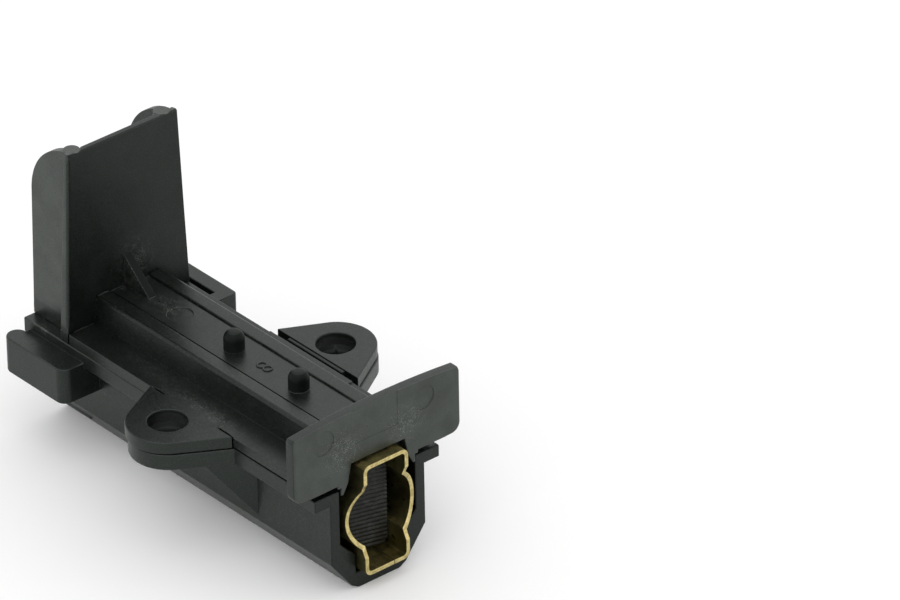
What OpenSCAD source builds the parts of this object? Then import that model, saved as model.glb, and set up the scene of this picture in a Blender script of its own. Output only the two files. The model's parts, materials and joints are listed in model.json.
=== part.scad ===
// Motor brush holder with its carbon brush: two glass-filled plastic mouldings
// closed over a folded brass guide tube, with the brush, its spring, its
// braided lead and the tab terminal inside.
// X runs along the brush towards the mouth, Y across, Z up. The origin is the
// middle of the two screw holes, on the underside of the ears.

/* [Carbon brush] */
// Thickness of the brush, across the holder
brush_w = 5; // [4:0.1:6.5]
// Height of the brush
brush_h = 12.5; // [10:0.1:15]
// Length of the new brush along its longer side
brush_l = 32; // [22:0.5:34]
// Angle of the running face, measured from square
face_angle = 16; // [0:1:25]
// Radius of the four long edges
brush_edge_r = 1.1; // [0.2:0.05:1.6]
// Depth of the brush behind the mouth of the tube in the delivery position
brush_recess = 2.9; // [1:0.1:6]
// Depth of the drilled pocket that holds the lead
pocket_depth = 2.4; // [1:0.1:5]
// Spacing of the bedding ridges across the running face
ridge_pitch = 0.5; // [0.3:0.05:1]
// Height of the ridges
ridge_h = 0.12; // [0.05:0.01:0.3]
// Width of the flat top of a ridge
ridge_land = 0.14; // [0.05:0.01:0.3]

/* [Guide tube] */
// Thickness of the brass sheet
tube_t = 0.5; // [0.4:0.05:0.8]
// Length of the tube
tube_l = 42.6; // [36:0.2:46]
// Outer diameter of the round bulge that clears the spring
bulge_d = 9.4; // [8.6:0.1:10]
// Outer radius of the folded corners
tube_corner_r = 0.9; // [0.5:0.05:1.2]
// Length of the tube in front of the flange
tube_front = 1.25; // [0.4:0.05:3]
// Depth of the hollow in the mouth edge beside the bulge
mouth_hollow = 1.2; // [0.2:0.1:2]
// Distance of the butt seam from the middle of the lower fold
seam_offset = 0.9; // [-1.5:0.1:1.5]
// Width of the butt seam
seam_gap = 0.08; // [0.05:0.01:0.2]

/* [Pressure spring] */
// Outer diameter of the coil spring
spring_d = 7.7; // [6:0.1:7.9]
// Diameter of the spring wire
spring_wire_d = 0.6; // [0.4:0.05:0.8]
// Number of turns
spring_turns = 6.5; // [4:0.5:8]

/* [Braided lead] */
// Diameter of the copper braid
lead_d = 1.6; // [1:0.1:2.2]
// Radius of the loose coil that the lead makes inside the spring
lead_coil_r = 1.5; // [0.8:0.1:1.8]
// Number of turns of that loose coil
lead_turns = 2.5; // [1:0.5:3]

/* [Terminal] */
// Thickness of the brass strip
strip_t = 0.8; // [0.5:0.1:1]
// Width of the blade
blade_w = 6.3; // [4.8:0.1:6.3]
// Length of the blade above the floor of the bay
blade_l = 8; // [6:0.1:12]
// Distance from the shield to the blade
blade_stand_off = 2.35; // [1.5:0.05:3.5]
// Inner radius of the bends
bend_r = 0.5; // [0.3:0.1:1]
// Diameter of the latching hole in the blade
blade_hole_d = 1.7; // [1.2:0.1:2]
// Width of the plate that the spring pushes on
plate_w = 9.4; // [8.2:0.1:9.6]
// Height of that plate below the parting plane
plate_drop = 7.2; // [6.5:0.1:7.4]
// Length of the crimp barrel behind the plate
barrel_l = 1.8; // [1:0.1:3]
// Wall of the crimp barrel
barrel_t = 0.5; // [0.3:0.1:0.8]

/* [Screw ears] */
// Distance between the two screw holes
hole_pitch = 23; // [21:0.1:28]
// Diameter of the screw holes
hole_d = 4.3; // [3.2:0.1:5]
// Radius of the round end of the near ear
near_ear_r = 4.55; // [3.6:0.05:6]
// Radius of the round end of the far ear
far_ear_r = 4.45; // [3.6:0.05:6]
// Reach of the ear root behind the hole line
ear_root_back = 6.6; // [5:0.1:9]
// Reach of the ear root in front of the hole line
ear_root_front = 7.1; // [5:0.1:9]
// Thickness of the upper layer of an ear
ear_up_t = 1.45; // [1:0.05:2.5]
// Thickness of the lower layer of an ear
ear_low_t = 1.8; // [1:0.05:3]
// Length of the two open slits at the root of an ear
ear_slit_l = 2.3; // [1:0.1:4]
// Width of the slits at the root of the near ear
ear_slit_w = 0.2; // [0.1:0.05:0.5]
// Step by which the lower layer of an ear is smaller all round
ear_step = 0.1; // [0.05:0.05:0.4]
// Offset of the lower layer of the ears towards the mouth
ear_offset = 0.3; // [0:0.05:0.5]
// Distance from the edge of the far shelf to the far ear
far_groove_w = 0.8; // [0.4:0.05:1]
// Height of the floor of that groove above the parting plane
far_groove_floor = 0.25; // [0.2:0.05:1]
// Width of the ledge in that groove
far_ledge_w = 0.42; // [0.2:0.02:0.6]
// Depth of the ledge below the top of the ear
far_ledge_depth = 0.15; // [0.05:0.05:1]
// Thickness of the web under the front of an ear
web_t = 1.5; // [0.8:0.1:3]
// Distance of the web's face behind the ear's front flank
web_inset = 0.1; // [0.05:0.05:0.5]
// Distance of the web's outer end from the hole line, across
web_reach = 0.3; // [0:0.1:2]
// Height of the web's lowest point above the lower edge of the wall
web_foot_up = 0.55; // [0.3:0.05:1.5]

/* [Base moulding] */
// Thickness of the side walls
wall_t = 1.3; // [0.9:0.05:2]
// Gap between the bulge of the tube and the side walls
bulge_gap = 0.45; // [0.2:0.05:1]
// Gap between the narrow parts of the tube and the plastic
tube_gap = 0.1; // [0.05:0.01:0.3]
// Thickness of the lip under the parting plane
lip_t = 1.8; // [1:0.05:3]
// Half width of the lip
lip_y = 8.5; // [8:0.1:10]
// Depth of the upright part of the side walls below the parting plane
wall_depth = 9.15; // [8.5:0.05:10.5]
// Half width of the flat underside
foot_y = 2.8; // [2:0.1:4]
// Thickness of the floor under the tube
floor_t = 2; // [1.2:0.1:3]
// Height of the rounded edge between the sloping side and the underside
foot_edge_h = 0.5; // [0.2:0.05:1]
// Width of that rounded edge
foot_edge_w = 0.9; // [0.4:0.05:1.5]
// Distance of the base's front end behind the flange face
front_setback = 0.2; // [0:0.05:1]
// Depth of the step in the lips under the flange
front_step = 0.35; // [0.1:0.05:0.8]
// Length of that step behind the flange
front_step_l = 0.4; // [0.1:0.1:2]
// Thickness of the rear wall
rear_wall_t = 1.3; // [0.9:0.1:2]

/* [Rear lugs] */
// Length of the near lug along the holder
near_lug_l = 10.25; // [6:0.05:12]
// Reach of the near lug from the middle
near_lug_y = 11.4; // [10:0.1:14]
// Depth of the top of the near lug below the parting plane
near_lug_drop = 1.1; // [0.5:0.1:1.6]
// Length of the far lug along the holder
far_lug_l = 11.5; // [6:0.1:12]
// Reach of the far lug from the middle
far_lug_y = 11.75; // [11:0.05:14]
// Depth of the underside of both lugs below the parting plane
lug_foot = 5.4; // [3.5:0.1:7]
// Distance by which the near lug stands out behind the base
near_lug_back = 0.2; // [0.1:0.05:0.5]
// Radius of the near lug's round rear end and of its front corner
near_lug_r = 1.2; // [0.5:0.1:2.5]
// Radius of the far lug's outer corners
far_lug_r = 0.5; // [0.2:0.1:1.5]
// Distance of the slot through the far lug from the lip
lug_slot_off = 0.55; // [0.1:0.05:0.8]
// Width of that slot
lug_slot_w = 0.85; // [0.8:0.05:2]
// Length of that slot
lug_slot_l = 7.35; // [3:0.05:8]
// Distance of the slot's front end from the front of the far lug
lug_slot_front = 1.75; // [1:0.05:3]

/* [Cover moulding] */
// Thickness of the side shelves
shelf_t = 1.3; // [0.9:0.05:2]
// Half width of the near shelf
near_shelf_y = 8.45; // [7.8:0.05:8.5]
// Half width of the far shelf
far_shelf_y = 7.95; // [7.8:0.05:8.5]
// Height of the open joint between cover and base in front of the ears
joint_gap = 0.18; // [0.05:0.01:0.4]
// Height of the roof floor above the parting plane
roof_h = 4.3; // [3.9:0.05:6]
// Height of the two rails above the roof floor
rail_h = 0.15; // [0.1:0.05:0.8]
// Half width of the roof floor between the rails
rail_in_y = 2.65; // [1.8:0.05:3.2]
// Half width of the roof over the rails
roof_top_y = 4.5; // [4.2:0.05:5]
// Half width of the roof where it meets the shelves
roof_root_y = 4.75; // [4.5:0.05:5.5]
// Width of the groove at the foot of each rail
groove_w = 0.26; // [0.1:0.02:0.5]
// Depth of the groove at the foot of each rail
groove_depth = 0.15; // [0.05:0.05:0.4]
// Diameter of the two pegs on the roof
peg_d = 2.3; // [1.5:0.1:3]
// Height of the pegs
peg_h = 2.2; // [1.5:0.05:4]
// Diameter of the flat end of a peg
peg_tip_d = 0.7; // [0.4:0.1:1.4]
// Height of the domed part of a peg
peg_dome_h = 1; // [0.5:0.05:1.5]
// Distance of the rear peg behind the hole line
peg_rear = 2.85; // [1:0.05:6]
// Distance between the pegs
peg_pitch = 10.7; // [6:0.1:13]

/* [Shield and fins] */
// Distance from the hole line back to the shield
shield_back = 20.7; // [19:0.1:24]
// Width of the groove between the shield's foot and the rear edges of roof and shelves
shield_groove_w = 0.2; // [0.1:0.05:0.5]
// Depth of that groove
shield_groove_depth = 0.25; // [0.1:0.05:0.5]
// Thickness of the shield at its foot
shield_t = 1.3; // [0.9:0.05:1.6]
// Thickness of the shield at its top
shield_top_t = 0.75; // [0.6:0.05:1.2]
// Radius of the front edge of the shield's top
shield_edge_r = 0.25; // [0.1:0.05:0.4]
// Height of the shield above the parting plane
shield_h = 22.9; // [16:0.1:30]
// Half width of the shield at its foot
shield_foot_y = 8.45; // [7.8:0.05:9]
// Half width of the shield at its top
shield_top_y = 7.4; // [7.2:0.05:8.4]
// Depth of the fins behind the shield
fin_depth = 6.3; // [5.4:0.05:8]
// Half width over the two fins
fin_y = 7.05; // [6.6:0.05:7.2]
// Thickness of a fin
fin_t = 1; // [0.7:0.05:1.5]
// Radius of the rounded rear top of a fin
fin_r = 7.4; // [4:0.1:9]
// Lean of the rear edge of a fin towards the shield
fin_lean = 0.5; // [0:0.05:0.8]
// Diameter of the ejector columns in the corners between shield and fins
boss_d = 1.8; // [1.2:0.1:2.2]
// Distance of their axis behind the front of the shield
boss_back = 1.05; // [1:0.05:1.6]
// Distance of their axis inside the outer face of the fins
boss_in = 0.95; // [0.9:0.05:1.5]
// Depth of their tops below the top of the shield
boss_drop = 0.1; // [0.05:0.05:0.5]
// Height of the gusset above the roof floor
gusset_h = 3.8; // [2:0.1:8]
// Length of the gusset along the roof
gusset_l = 4.2; // [2:0.1:8]
// Thickness of the gusset
gusset_t = 1; // [0.6:0.1:1.6]

/* [Front flange] */
// Distance from the hole line to the front face of the flange
flange_front = 20.7; // [19:0.1:23]
// Thickness of the flange
flange_t = 1.3; // [0.9:0.05:2]
// Half width of the flange
flange_y = 11.3; // [9.5:0.1:13]
// Height of the flange above the parting plane
flange_h = 8.8; // [7:0.1:12]
// Gap between the flange and the lip of the base
flange_gap = 0.35; // [0.2:0.05:0.6]
// Rise of the arched top edge of the flange
flange_arch = 0.55; // [0.2:0.05:1.2]
// Radius of the corners of the flange
flange_corner_r = 1.2; // [0.4:0.1:2]
// Gap between the top of the tube and the flange
opening_gap = 0.15; // [0.05:0.05:0.5]
// Half width of the flange's opening at the top of the tube
opening_y = 3.6; // [3.3:0.05:3.8]
// Half width of the flange's opening at its lower end
opening_foot_y = 4.75; // [4.2:0.05:4.9]
// Height of the tongue that reaches down between the walls of the base
tongue_h = 0.95; // [0.4:0.05:1.2]
// Gap between the tongue and the walls of the base
tongue_gap = 0.1; // [0.05:0.05:0.3]
// Half width of the foot by which the flange stands on the base
flange_foot_y = 5.5; // [5:0.1:6.4]
// Diameter of the ejector marks
mark_d = 2.9; // [1.5:0.1:3.4]
// Depth of the ejector marks
mark_depth = 0.1; // [0.04:0.01:0.15]
// Distance of the flange's ejector marks from their middle
mark_y = 6.8; // [5.5:0.1:8]
// Distance of that middle from the middle of the holder
mark_shift = -0.5; // [-1:0.1:1]
// Height of the insert mark's lower edge above the parting plane
insert_z = 4.7; // [4:0.1:6]
// Width of the insert mark
insert_w = 6; // [4:0.1:8]
// Depth of the insert mark
insert_depth = 0.05; // [0.03:0.01:0.1]

/* [Hidden] */

eps = 0.01;
flank_in = 0.003;
brush_gap = 0.05;

// Parting plane between the two mouldings
part_z = ear_low_t;

// Tube section, from the brush inside it
tube_in_w = brush_w + 2 * brush_gap;
tube_in_h = brush_h + 2 * brush_gap;
tube_w = tube_in_w + 2 * tube_t;
tube_h = tube_in_h + 2 * tube_t;
// Height of the tube's top above the parting plane
tube_rise = 2.3;
tube_top_z = part_z + tube_rise;
tube_bottom_z = tube_top_z - tube_h;
axis_z = tube_top_z - tube_h / 2;
mouth_x = flange_front + tube_front;
tube_rear_x = mouth_x - tube_l;
// Half height of the hollow in the mouth, from the bulge that it clears
hollow_half = bulge_d / 2 - 0.15;
hollow_r = (hollow_half * hollow_half + mouth_hollow * mouth_hollow) / (2 * mouth_hollow);

// Brush
brush_front_x = mouth_x - brush_recess;
brush_rear_x = brush_front_x - brush_l;

// Terminal strip
plate_front_x = tube_rear_x - 0.1;
plate_rear_x = plate_front_x - strip_t;
strip_top_z = part_z - 0.1;
blade_front_x = -shield_back - shield_t - blade_stand_off;
blade_rear_x = blade_front_x - strip_t;
bay_floor_z = part_z + shelf_t;
barrel_in_d = lead_d + 0.1;
barrel_rear_x = plate_rear_x - barrel_l;

// Spring between the plate and the brush
spring_len = brush_rear_x - plate_front_x;

// Base moulding
cavity_y = bulge_d / 2 + bulge_gap;
wall_y = cavity_y + wall_t;
slot_y = tube_w / 2 + tube_gap;
slot_shoulder_z = axis_z - bulge_d / 2 + 0.2;
foot_z = tube_bottom_z - floor_t;
wall_foot_z = part_z - wall_depth;
web_foot_z = wall_foot_z + web_foot_up;
base_front_x = flange_front - front_setback;
base_rear_x = -shield_back - shield_t - fin_depth;
chamber_rear_x = base_rear_x + rear_wall_t;

// Cover moulding
shield_front_x = -shield_back;
shield_rear_x = shield_front_x - shield_t;
flange_rear_x = flange_front - flange_t;
roof_z = part_z + roof_h;
rail_z = roof_z + rail_h;
roof_edge_r = 0.45;
shelf_z = part_z + shelf_t;
mark_x = -12;
opening_mid_y = opening_y + 0.45;
mark_z = part_z + 6.5;

moulding_colour = [0.13, 0.14, 0.135];
brass_colour = [0.78, 0.62, 0.28];

// Rectangle with round corners, centred
module round_rect(w, h, r) {
    square([w - 2 * r, h], center = true);
    square([w, h - 2 * r], center = true);
    for (sx = [-1, 1], sy = [-1, 1])
        translate([sx * (w / 2 - r), sy * (h / 2 - r)])
            circle(r = r, $fn = 32);
}

// Sweeps a section drawn in Y and Z along X, from x0 to x1
module along_x(x0, x1) {
    translate([x0, 0, 0])
        rotate([90, 0, 90])
            linear_extrude(height = x1 - x0)
                children();
}

// Sweeps a section drawn in X and Z across Y, from y0 to y1
module across_y(y0, y1) {
    translate([0, y1, 0])
        rotate([90, 0, 0])
            linear_extrude(height = y1 - y0)
                children();
}

// Box between two corners
module block(a, b) {
    translate(a)
        cube(b - a);
}

// Outline of the tube: a flat box with a round bulge on both sides
module tube_outline(inset) {
    round_rect(tube_w - 2 * inset, tube_h - 2 * inset, max(tube_corner_r - inset, 0.2));
    circle(d = bulge_d - 2 * inset, $fn = 96);
}

// Ear in plan: a round end joined to a wide root by straight flanks, which end just inside the round
function ear_tangent(root_x, root_y, cy, r, side) =
    let (dx = root_x, dy = root_y - cy, dist = norm([dx, dy]),
         base = atan2(dy, dx), spread = acos(r / dist), in_r = r - flank_in)
    [in_r * cos(base + side * spread), cy + in_r * sin(base + side * spread)];

module ear_plan(end_r, root_in, inset) {
    cy = hole_pitch / 2;
    r = end_r - inset;
    rear = ear_root_back - inset;
    front = ear_root_front - inset;
    translate([0, cy])
        circle(r = r, $fn = 96);
    polygon([[-rear, root_in], [-rear, lip_y], ear_tangent(-rear, lip_y, cy, r, -1), [0, cy],
             ear_tangent(front, lip_y, cy, r, 1), [front, lip_y], [front, root_in]]);
}

// Both ears, each as one layer between two heights
module ear_layer(z0, z1, root_in, inset) {
    for (side = [-1, 1])
        on_side(side)
            translate([0, 0, z0])
                linear_extrude(height = z1 - z0)
                    ear_plan(side > 0 ? far_ear_r : near_ear_r, root_in, inset);
}

// Puts a child that is drawn on the far side (+Y) on either side
module on_side(side) {
    if (side > 0)
        children();
    else
        mirror([0, 1, 0])
            children();
}

// Bores for the two screws
module screw_bores(z0, z1) {
    for (side = [-1, 1])
        translate([0, side * hole_pitch / 2, z0])
            cylinder(d = hole_d, h = z1 - z0, $fn = 64);
}

// Base moulding

module base_section() {
    polygon([[lip_y, part_z], [lip_y, part_z - lip_t], [wall_y, part_z - lip_t],
             [wall_y, wall_foot_z], [foot_y + foot_edge_w, foot_z + foot_edge_h], [foot_y, foot_z],
             [-foot_y, foot_z], [-foot_y - foot_edge_w, foot_z + foot_edge_h],
             [-wall_y, wall_foot_z], [-wall_y, part_z - lip_t], [-lip_y, part_z - lip_t],
             [-lip_y, part_z]]);
}

module cavity_section() {
    shoulder = cavity_y - slot_y;
    polygon([[cavity_y, part_z + eps], [cavity_y, slot_shoulder_z + shoulder], [slot_y, slot_shoulder_z],
             [slot_y, tube_bottom_z], [-slot_y, tube_bottom_z], [-slot_y, slot_shoulder_z],
             [-cavity_y, slot_shoulder_z + shoulder], [-cavity_y, part_z + eps]]);
}

// Rear lug between two lengths and up to a height, with a round rear end and front corner
module lug(side, x0, x1, reach, r, top) {
    root = wall_y - wall_t / 2;
    bottom = part_z - lug_foot;
    on_side(side)
        translate([0, 0, bottom])
            linear_extrude(height = top - bottom) {
                polygon([[x0 + r, root], [x0 + r, reach], [x1 - r, reach], [x1, reach - r], [x1, root]]);
                for (x = [x0 + r, x1 - r])
                    translate([x, reach - r])
                        circle(r = r, $fn = 48);
            }
}

// Slot through the far lug
module lug_slot() {
    x1 = base_rear_x + far_lug_l - lug_slot_front;
    y0 = lip_y + lug_slot_off;
    block([x1 - lug_slot_l, y0, part_z - lug_foot - eps], [x1, y0 + lug_slot_w, part_z + eps]);
}

// Web from the underside of an ear down to the foot of the wall, in line with the ear's front flank
module ear_web(side) {
    cy = hole_pitch / 2;
    root_x = ear_root_front - ear_step;
    end_r = (side > 0 ? far_ear_r : near_ear_r) - ear_step;
    tip = ear_tangent(root_x, lip_y, cy, end_r, 1);
    lean = atan2(root_x - tip[0], tip[1] - lip_y);
    reach = (cy - web_reach - lip_y) / cos(lean);
    inner = (wall_y - wall_t / 2 - lip_y) / cos(lean);
    foot = (wall_y - lip_y) / cos(lean);
    // The slanting edge runs on into the middle of the ear's thickness
    ear_z = part_z - ear_low_t;
    top = part_z - ear_low_t / 2;
    reach_in = reach + (reach - foot) * (top - ear_z) / (ear_z - web_foot_z);
    on_side(side)
        translate([root_x + ear_offset, lip_y, 0])
            rotate([0, 0, lean])
                along_x(-web_t - web_inset, -web_inset)
                    polygon([[reach_in, top], [inner, top], [inner, web_foot_z], [foot, web_foot_z]]);
}

// Ribs that take the push of the spring behind the terminal plate
module plate_ribs() {
    for (side = [-1, 1])
        on_side(side)
            block([chamber_rear_x - eps, barrel_in_d / 2 + barrel_t + 0.9, tube_bottom_z],
                  [plate_rear_x, cavity_y + eps, part_z - strip_t - 1.4]);
}

// Shallow steps in the lips under the flange
module front_steps() {
    for (side = [-1, 1])
        on_side(side)
            block([flange_rear_x - front_step_l, wall_y - wall_t, part_z - front_step],
                  [base_front_x + eps, lip_y + eps, part_z + eps]);
}

module base_moulding() {
    color(moulding_colour)
        difference() {
            union() {
                difference() {
                    union() {
                        along_x(base_rear_x, base_front_x)
                            base_section();
                        translate([ear_offset, 0, 0])
                            ear_layer(part_z - ear_low_t, part_z, wall_y, ear_step);
                        lug(-1, base_rear_x - near_lug_back, base_rear_x + near_lug_l, near_lug_y,
                            near_lug_r, part_z - near_lug_drop);
                        lug(1, base_rear_x, base_rear_x + far_lug_l, far_lug_y, far_lug_r, part_z);
                        for (side = [-1, 1])
                            ear_web(side);
                    }
                    along_x(chamber_rear_x, base_front_x + eps)
                        cavity_section();
                }
                plate_ribs();
            }
            lug_slot();
            front_steps();
            screw_bores(part_z - ear_low_t - eps, part_z + eps);
        }
}

// Cover moulding

module roof_section() {
    edge_y = roof_top_y - roof_edge_r;
    difference() {
        union() {
            polygon([[roof_root_y, part_z], [roof_root_y, shelf_z], [roof_top_y, rail_z - roof_edge_r],
                     [edge_y, rail_z], [rail_in_y, rail_z], [rail_in_y, roof_z],
                     [-rail_in_y, roof_z], [-rail_in_y, rail_z], [-edge_y, rail_z],
                     [-roof_top_y, rail_z - roof_edge_r], [-roof_root_y, shelf_z], [-roof_root_y, part_z]]);
            for (side = [-1, 1])
                translate([side * edge_y, rail_z - roof_edge_r])
                    circle(r = roof_edge_r, $fn = 32);
            translate([-near_shelf_y, part_z])
                square([near_shelf_y + far_shelf_y, shelf_t]);
        }
        for (side = [-1, 1])
            translate([side * (rail_in_y - groove_w / 2), roof_z])
                square([groove_w, 2 * groove_depth], center = true);
    }
}

// Shield: wider at its foot, thinner towards its top, with a rounded top edge in front
module shield() {
    top = part_z + shield_h;
    intersection() {
        along_x(shield_rear_x, shield_front_x)
            polygon([[-shield_foot_y, part_z], [shield_foot_y, part_z],
                     [shield_top_y, top], [-shield_top_y, top]]);
        across_y(-shield_foot_y - eps, shield_foot_y + eps) {
            polygon([[shield_front_x, part_z], [shield_front_x, top - shield_edge_r],
                     [shield_front_x - shield_edge_r, top], [shield_front_x - shield_top_t, top],
                     [shield_rear_x, part_z]]);
            translate([shield_front_x - shield_edge_r, top - shield_edge_r])
                circle(r = shield_edge_r, $fn = 32);
        }
    }
}

module fin_section() {
    top = part_z + shield_h;
    arc_z = top - fin_r;
    rear_x = base_rear_x;
    arc_x = rear_x + fin_lean + fin_r;
    front_x = shield_rear_x + shield_t / 2;
    polygon([[rear_x, part_z], [rear_x + fin_lean, arc_z], [front_x, arc_z], [front_x, part_z]]);
    intersection() {
        translate([arc_x, arc_z])
            circle(r = fin_r, $fn = 128);
        translate([rear_x, arc_z - eps])
            square([front_x - rear_x, fin_r + 2 * eps]);
    }
}

module fins() {
    for (side = [-1, 1])
        on_side(side) {
            across_y(fin_y - fin_t, fin_y)
                fin_section();
            translate([shield_front_x - boss_back, fin_y - boss_in, part_z])
                cylinder(d = boss_d, h = shield_h - boss_drop, $fn = 32);
        }
}

// Round flats that the ejector pins leave in the top of the shield, over their columns
module boss_flats() {
    for (side = [-1, 1])
        translate([shield_front_x - boss_back, side * (fin_y - boss_in), part_z + shield_h - boss_drop])
            cylinder(d = boss_d + 0.2, h = 2 * boss_drop, $fn = 48);
}

// Groove between the shield's foot and the rear edges of the roof and the shelves
module shield_groove() {
    x0 = shield_front_x;
    x1 = shield_front_x + shield_groove_w;
    depth = shield_groove_depth;
    block([x0, -roof_root_y, roof_z - depth], [x1, roof_root_y, rail_z + eps]);
    block([x0, -near_shelf_y - eps, shelf_z - depth], [x1, -roof_root_y, shelf_z + eps]);
    block([x0, roof_root_y, shelf_z - depth], [x1, far_shelf_y + eps, shelf_z + eps]);
    block([x0, -near_shelf_y - eps, part_z - eps], [x1, depth - near_shelf_y, shelf_z]);
    block([x0, far_shelf_y - depth, part_z - eps], [x1, far_shelf_y + eps, shelf_z]);
}

// Floor of the bay between the fins, with the slot for the blade
module bay_floor() {
    block([base_rear_x, -fin_y + eps, part_z], [shield_rear_x + eps, fin_y - eps, bay_floor_z]);
}

module gusset() {
    across_y(-gusset_t / 2, gusset_t / 2)
        polygon([[shield_front_x - eps, roof_z - eps], [shield_front_x - eps, roof_z + gusset_h],
                 [shield_front_x + gusset_l, roof_z - eps]]);
}

// Peg on the roof with a domed end that is flat at its tip
module peg(x) {
    dome_r = (peg_d - peg_tip_d) / 2;
    shoulder = peg_h - peg_dome_h;
    translate([x, 0, roof_z - eps])
        rotate_extrude($fn = 48)
            polygon(concat([[0, 0], [peg_d / 2, 0]],
                           [for (a = [0 : 15 : 90])
                               [peg_tip_d / 2 + dome_r * cos(a), shoulder + peg_dome_h * sin(a)]],
                           [[0, peg_h]]));
}

module flange_outline() {
    half = flange_h / 2;
    arch_r = (flange_y * flange_y + flange_arch * flange_arch) / (2 * flange_arch);
    intersection() {
        translate([0, part_z + flange_gap + (flange_h - flange_gap) / 2])
            round_rect(2 * flange_y, flange_h - flange_gap, flange_corner_r);
        translate([0, part_z + flange_h - arch_r])
            circle(r = arch_r, $fn = 360);
    }
    translate([-flange_foot_y, part_z])
        square([2 * flange_foot_y, half]);
    translate([tongue_gap - cavity_y, part_z - tongue_h])
        square([2 * (cavity_y - tongue_gap), tongue_h + eps]);
}

module flange() {
    difference() {
        along_x(flange_rear_x, flange_front)
            flange_outline();
        for (side = [-1, 1])
            translate([flange_front - mark_depth, mark_shift + side * mark_y, mark_z])
                rotate([0, 90, 0])
                    cylinder(d = mark_d, h = 2 * mark_depth, $fn = 48);
        block([flange_front - insert_depth, mark_shift / 2 - insert_w / 2, part_z + insert_z],
              [flange_front + eps, mark_shift / 2 + insert_w / 2, part_z + flange_h + eps]);
    }
}

// Two thin slits at the root of the near ear
module near_slits() {
    for (ends = [[-ear_root_back - eps, ear_slit_l - ear_root_back],
                 [ear_root_front - ear_slit_l, ear_root_front + eps]])
        block([ends[0], -near_shelf_y - ear_slit_w / 2, part_z - eps],
              [ends[1], -near_shelf_y + ear_slit_w / 2, part_z + ear_up_t + eps]);
}

// Groove between the far shelf and the far ear, with a ledge left standing in it
module far_groove() {
    inner = far_shelf_y;
    outer = far_shelf_y + far_groove_w;
    floor_z = part_z + far_groove_floor;
    top = part_z + ear_up_t + eps;
    difference() {
        block([-ear_root_back - eps, inner, floor_z], [ear_root_front + eps, outer, top]);
        block([ear_slit_l - ear_root_back, outer - far_ledge_w, floor_z - eps],
              [ear_root_front - ear_slit_l, outer + eps, part_z + ear_up_t - far_ledge_depth]);
    }
}

// Open joint between the cover's shelves and the base's lips, from the ears to the flange
module front_joint() {
    for (side = [-1, 1])
        on_side(side)
            block([ear_root_front, wall_y, part_z - eps], [flange_rear_x, lip_y + eps, part_z + joint_gap]);
}

module cover_moulding() {
    color(moulding_colour)
        difference() {
            union() {
                difference() {
                    along_x(shield_rear_x, flange_front - flange_t / 2)
                        roof_section();
                    shield_groove();
                }
                ear_layer(part_z, part_z + ear_up_t, far_shelf_y - far_groove_w, 0);
                shield();
                fins();
                bay_floor();
                gusset();
                peg(-peg_rear);
                peg(peg_pitch - peg_rear);
                flange();
            }
            along_x(tube_rear_x - 0.1, flange_front + eps)
                cover_channel();
            along_x(flange_rear_x, flange_front + eps)
                flange_opening();
            near_slits();
            far_groove();
            front_joint();
            screw_bores(part_z - eps, part_z + ear_up_t + eps);
            boss_flats();
            block([blade_rear_x - 0.1, -blade_w / 2 - 0.1, part_z - eps],
                  [blade_front_x + 0.1, blade_w / 2 + 0.1, bay_floor_z + eps]);
            translate([mark_x, 0, roof_z - mark_depth])
                cylinder(d = mark_d, h = 2 * mark_depth, $fn = 48);
        }
}

// Channel in the cover that holds the top of the tube
module cover_channel() {
    translate([-slot_y, part_z - eps])
        square([2 * slot_y, tube_top_z - part_z + eps]);
}

// Opening of the flange round the tube, wider towards the bottom
module flange_opening() {
    top = tube_top_z + opening_gap;
    polygon([[opening_y, top], [opening_mid_y, part_z + 0.35], [opening_foot_y, part_z - tongue_h - eps],
             [-opening_foot_y, part_z - tongue_h - eps], [-opening_mid_y, part_z + 0.35],
             [-opening_y, top]]);
}

// Guide tube

module guide_tube() {
    color(brass_colour)
        difference() {
            translate([0, 0, axis_z])
                along_x(tube_rear_x, mouth_x)
                    difference() {
                        tube_outline(0);
                        tube_outline(tube_t);
                    }
            translate([mouth_x - mouth_hollow + hollow_r, 0, axis_z])
                rotate([90, 0, 0])
                    cylinder(r = hollow_r, h = bulge_d + 2, center = true, $fn = 128);
            block([tube_rear_x - eps, seam_offset - seam_gap / 2, tube_bottom_z - eps],
                  [mouth_x + eps, seam_offset + seam_gap / 2, tube_bottom_z + tube_t + eps]);
        }
}

// Carbon brush

// V grooves between the bedding ridges, level across the slanted running face
module ridge_grooves() {
    half = (ridge_pitch - ridge_land) / 2;
    over = half * (1 + eps / ridge_h);
    count = ceil(brush_h / ridge_pitch);
    translate([brush_front_x, brush_w / 2, axis_z])
        rotate([0, 0, -face_angle])
            for (i = [0 : count])
                translate([0, 0, (i - count / 2) * ridge_pitch])
                    across_y(-brush_w / cos(face_angle) - 1, 1)
                        polygon([[-ridge_h, 0], [eps, -over], [eps, over]]);
}

module carbon_brush() {
    slope = brush_w * tan(face_angle);
    color([0.2, 0.2, 0.21])
        difference() {
            translate([0, 0, axis_z])
                along_x(brush_rear_x, brush_front_x)
                    round_rect(brush_w, brush_h, brush_edge_r);
            translate([brush_front_x, 0, axis_z - brush_h / 2 - 1])
                linear_extrude(height = brush_h + 2)
                    polygon([[0, brush_w / 2], [-slope, -brush_w / 2], [-slope * 1.5, -brush_w],
                             [slope + 1, -brush_w], [slope + 1, brush_w / 2]]);
            translate([brush_rear_x - eps, 0, axis_z])
                rotate([0, 90, 0])
                    cylinder(d = lead_d + 0.1, h = pocket_depth + eps, $fn = 32);
            ridge_grooves();
        }
}

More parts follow.
